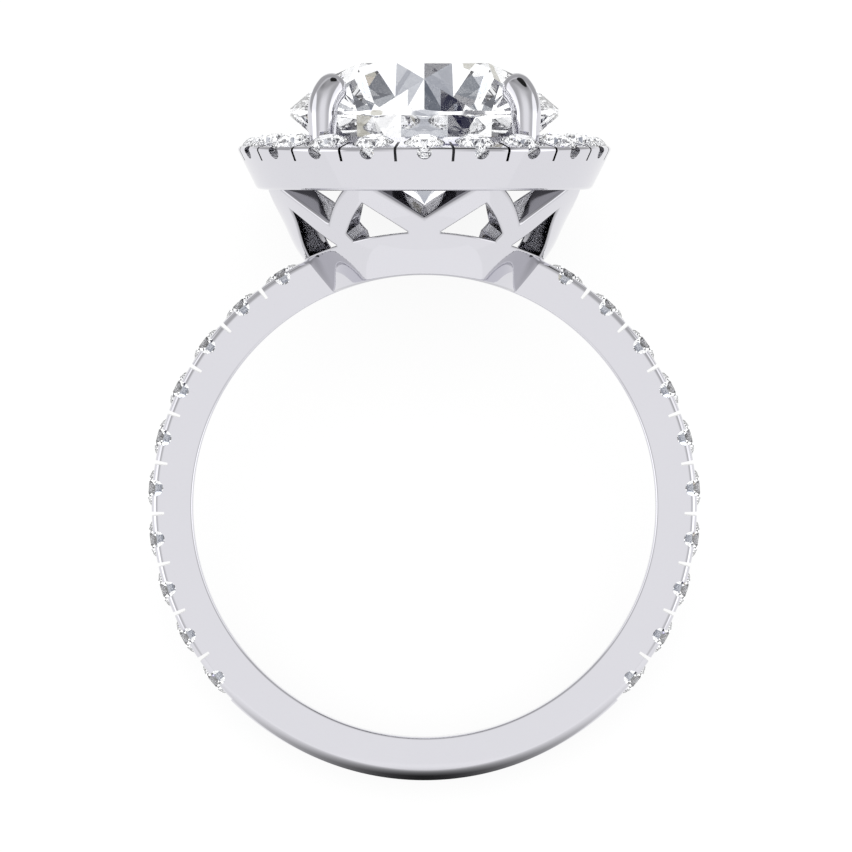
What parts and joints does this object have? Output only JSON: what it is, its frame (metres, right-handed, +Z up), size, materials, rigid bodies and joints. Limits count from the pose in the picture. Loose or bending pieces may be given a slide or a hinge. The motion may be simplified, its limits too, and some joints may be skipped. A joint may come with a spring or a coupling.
{
  "type": "anniversary ring",
  "caption": "Finger ring with a round brilliant in a halo of small stones on four prongs, a pierced gallery, and stones set down both sides of the band.",
  "frame": {"origin": "bottom centre of the ring's box as it lies on its side, on the surface it rests on", "axes": "+Z up from the surface, +Y from the plain bottom of the band towards the head and the centre stone's table, +X across the band to its right side seen from +Z with the head up"},
  "size_m": [0.0198, 0.0256, 0.0129],
  "materials": {
    "white_gold": "polished",
    "diamond": "polished"
  },
  "bodies": {
    "root": {"ring_mount": "white_gold", "centre_stone": "diamond", "halo_stone_01": "diamond", "halo_stone_02": "diamond", "halo_stone_03": "diamond", "halo_stone_04": "diamond", "halo_stone_05": "diamond", "halo_stone_06": "diamond", "halo_stone_07": "diamond", "halo_stone_08": "diamond", "halo_stone_09": "diamond", "halo_stone_10": "diamond", "halo_stone_11": "diamond", "halo_stone_12": "diamond", "halo_stone_13": "diamond", "halo_stone_14": "diamond", "halo_stone_15": "diamond", "halo_stone_16": "diamond", "halo_stone_17": "diamond", "halo_stone_18": "diamond", "halo_stone_19": "diamond", "halo_stone_20": "diamond", "band_stone_left_01": "diamond", "band_stone_left_02": "diamond", "band_stone_left_03": "diamond", "band_stone_left_04": "diamond", "band_stone_left_05": "diamond", "band_stone_left_06": "diamond", "band_stone_left_07": "diamond", "band_stone_left_08": "diamond", "band_stone_left_09": "diamond", "band_stone_left_10": "diamond", "band_stone_right_01": "diamond", "band_stone_right_02": "diamond", "band_stone_right_03": "diamond", "band_stone_right_04": "diamond", "band_stone_right_05": "diamond", "band_stone_right_06": "diamond", "band_stone_right_07": "diamond", "band_stone_right_08": "diamond", "band_stone_right_09": "diamond", "band_stone_right_10": "diamond"}
  },
  "joints": []
}
